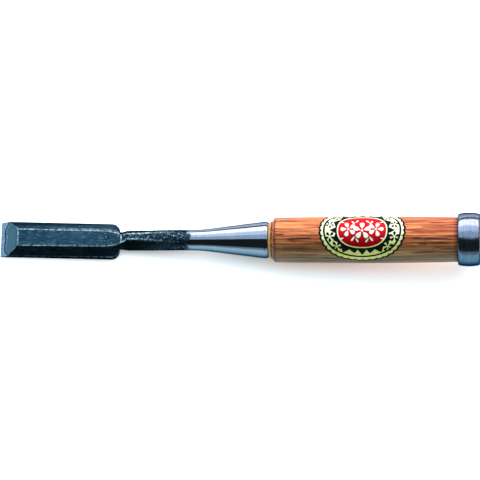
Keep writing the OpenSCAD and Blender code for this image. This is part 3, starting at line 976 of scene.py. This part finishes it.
def ornaments():
    """Three plain blossoms with leaves, in place of the printed words."""
    out = []
    for cx, cy, size, turn in BLOSSOMS:
        for k in range(5):
            out.append([petal(cx, cy, size, size * 0.82, pi / 2 + turn + 2 * pi * k / 5, size * 0.26)])
        out.append([[(cx + s, cy + t) for s, t in oval(size * 0.16, size * 0.16, 16)]])
    for sign in (-1, 1):
        for cx, cy, length, width, a in LEAVES:
            out.append([petal(sign * cx, cy, length, width, a if sign > 0 else pi - a, 0.2)])
    return out


def corner_marks():
    """Small dark rosettes in the panels of the gold field."""
    out = []
    for sign in (-1, 1):
        for s, t, r in ROSETTES:
            for k in range(5):
                leaf = petal(0, 0, r * 1.75, r * 1.15, 2 * pi * k / 5 + 0.3 * sign, r * 0.3, 12, 0.6)
                out.append([[(sign * s + p, t + q) for p, q in leaf]])
    return out


def ticks():
    """Fine ink ticks between the scallops, narrower at their inner ends."""
    out = []
    for k in range(SCALLOPS):
        c, s = cos(2 * pi * k / SCALLOPS), sin(2 * pi * k / SCALLOPS)
        ax, ay = LABEL_L / 2 * 0.97 * c, LABEL_W / 2 * 0.97 * s
        bx, by = LABEL_L / 2 * 0.9 * c, LABEL_W / 2 * 0.885 * s
        d = Vector((bx - ax, by - ay)).normalized()
        px, py = Vector((-d.y, d.x)) * TICK_HALF_W
        inner = [(bx + k * px, by + k * py) for k in (TICK_TAPER, -TICK_TAPER)]
        out.append([[(ax + px, ay + py), *inner, (ax - px, ay - py)]])
    return out


def cut(bm, axis, step, offset):
    """Cuts a flat mesh into strips. The offset keeps the cuts off the corners of the outlines."""
    places = [v.co[axis] for v in bm.verts]
    at, last = math.floor(min(places) / step) * step, max(places)
    normal = Vector((axis == 0, axis == 1, 0))
    while at < last:
        bmesh.ops.bisect_plane(bm, geom=bm.verts[:] + bm.edges[:] + bm.faces[:], dist=1e-5,
                               plane_co=normal * (at + offset), plane_no=normal)
        at += step


def wrapped(name, groups, lift, thick, material, nodes=()):
    """A thin printed layer: flat outlines, cut into strips, bent round the handle and given a thickness."""
    bm = bmesh.new()
    for group in groups:
        edges = []
        for loop in group:
            vs = [bm.verts.new((s, t, 0)) for s, t in loop]
            edges += [bm.edges.new((vs[i], vs[(i + 1) % len(vs)])) for i in range(len(vs))]
        bmesh.ops.triangle_fill(bm, use_beauty=True, use_dissolve=False, edges=edges, normal=(0, 0, 1))
    cut(bm, 1, 0.55, 0.013)
    cut(bm, 0, 3, 0.017)
    for f in bm.faces:
        if f.normal.z < 0:
            f.normal_flip()
    up = bmesh.ops.extrude_face_region(bm, geom=list(bm.faces))
    top = {v for v in up["geom"] if isinstance(v, bmesh.types.BMVert)}
    for v in bm.verts:
        u, a = LABEL_U + v.co.x, rad(LABEL_TURN) + v.co.y / LABEL_R
        height = lift + thick if v in top else lift
        v.co = Vector(polar(u, belly_r(u) + height, a)) * MM
    bmesh.ops.recalc_face_normals(bm, faces=bm.faces)
    me = bpy.data.meshes.new(name)
    bm.to_mesh(me)
    bm.free()
    join_row(name, me, material, nodes, 30)


def label_pieces():
    wrapped("label_rim", [[scalloped(0.0)]], 0.02, 0.06, INK, ["label"])
    wrapped("label_foil", [[scalloped(0.98)]], 0.06, 0.05, GOLD)
    wrapped("label_line", [[oval(19.1, 14.3), oval(18.15, 13.35)]], 0.105, 0.02, INK)
    wrapped("label_star", [[star()]], 0.105, 0.02, INK)
    wrapped("label_border", [[oval(12.3, 8.95, 140, 2.3)]], 0.12, 0.03, GOLD)
    wrapped("label_ground", [[oval(11.7, 8.4, 140, 2.3)]], 0.145, 0.02, RED)
    wrapped("label_blossoms", ornaments(), 0.16, 0.03, WHITE)
    wrapped("label_corners", corner_marks(), 0.105, 0.02, INK)
    wrapped("label_ticks", ticks(), 0.105, 0.012, INK)


blade_piece()
steel_piece()
ferrule_piece()
handle_piece()
hoop_piece()
label_pieces()


# ---------------------------------------------------------------- floor, light, camera, in metres
CENTRE_X, LIGHT_DIST = 0.12, 1.1
FLOOR_GAP = 0.0001


def make_floor():
    bm = bmesh.new()
    bmesh.ops.create_grid(bm, x_segments=2, y_segments=2, size=4.0)
    me = bpy.data.meshes.new("floor")
    bm.to_mesh(me)
    bm.free()
    ob = bpy.data.objects.new("floor", me)
    ob.location = (CENTRE_X, 0, min(0.0, cad_lo.z) - FLOOR_GAP)
    bpy.context.scene.collection.objects.link(ob)
    m = Mat("floor_white", Roughness=0.9, Specular_IOR_Level=0.1)
    m.set(Base_Color=m.mix(m.noise(3.0, 2, 0.5), (0.93, 0.93, 0.92), (0.96, 0.96, 0.95)))
    me.materials.append(m.m)
    return ob


def softbox(name, centre, toward, size, power, color):
    data = bpy.data.lights.new(name, "AREA")
    data.shape = "RECTANGLE"
    data.size, data.size_y = size
    data.energy = power
    data.color = color
    ob = bpy.data.objects.new(name, data)
    ob.location = centre
    ob.rotation_mode = "QUATERNION"
    ob.rotation_quaternion = (Vector(toward) - Vector(centre)).to_track_quat("-Z", "Y")
    ob.visible_camera = False
    bpy.context.scene.collection.objects.link(ob)
    return ob


def at_angle(deg):
    """A point round the X axis: 0 is overhead, positive is towards +Y."""
    return Vector((CENTRE_X, LIGHT_DIST * sin(rad(deg)), LIGHT_DIST * cos(rad(deg))))


floor = make_floor()
for name, deg, width, power, color in (
    ("key_back", 59, 0.673, 38.5, (1.0, 0.985, 1.0)),
    ("key_middle", 28.5, 0.528, 19.0, (0.7, 0.82, 1.0)),
    ("key_top", 0.5, 0.569, 11.5, (0.6, 0.8, 1.0)),
    ("near_card", -83, 0.25, 2.6, (0.62, 0.9, 1.0)),
):
    softbox(name, at_angle(deg), (CENTRE_X, 0, 0.01), (4.0, width), power, color)
# an even wash for the floor alone, so the background stays white and the shadow stays faint
wash = softbox("floor_wash", (CENTRE_X, 0, 1.4), (CENTRE_X, 0, 0), (5.0, 5.0), 80.0, (1.0, 1.0, 0.98))
floor_only = bpy.data.collections.new("floor_only")
floor_only.objects.link(floor)
wash.light_linking.receiver_collection = floor_only
wash.light_linking.blocker_collection = floor_only

world = bpy.data.worlds.new("studio")
bpy.context.scene.world = world
world.use_nodes = True
world.node_tree.nodes["Background"].inputs[0].default_value = (0.55, 0.75, 0.7, 1)
world.node_tree.nodes["Background"].inputs[1].default_value = 0.05

bpy.context.scene.view_settings.view_transform = "Standard"
bpy.context.scene.view_settings.look = "None"

# the width is what the picture spans at the target, in metres
ELEVATION, WIDTH, TARGET_U = rad(69), 0.235, 117.65
cam_data = bpy.data.cameras.new("camera")
cam_data.sensor_width, cam_data.lens = 36.0, 300.0
cam_data.clip_start, cam_data.clip_end = 0.05, 20.0
cam = bpy.data.objects.new("camera", cam_data)
bpy.context.scene.collection.objects.link(cam)
target = Vector(place(TARGET_U, 0, 0)) * MM
back = Vector((0, -cos(ELEVATION), sin(ELEVATION)))
cam.location = target + back * (WIDTH * cam_data.lens / cam_data.sensor_width)
cam.rotation_mode = "QUATERNION"
# turned so that the tilted axis lies level in the picture, but for a small part of a degree
look = (-back).to_track_quat("-Z", "Y")
roll = math.atan(math.tan(TILT) * cos(ELEVATION)) - rad(0.14)
cam.rotation_quaternion = look @ Quaternion((0, 0, 1), roll)
bpy.context.scene.camera = cam
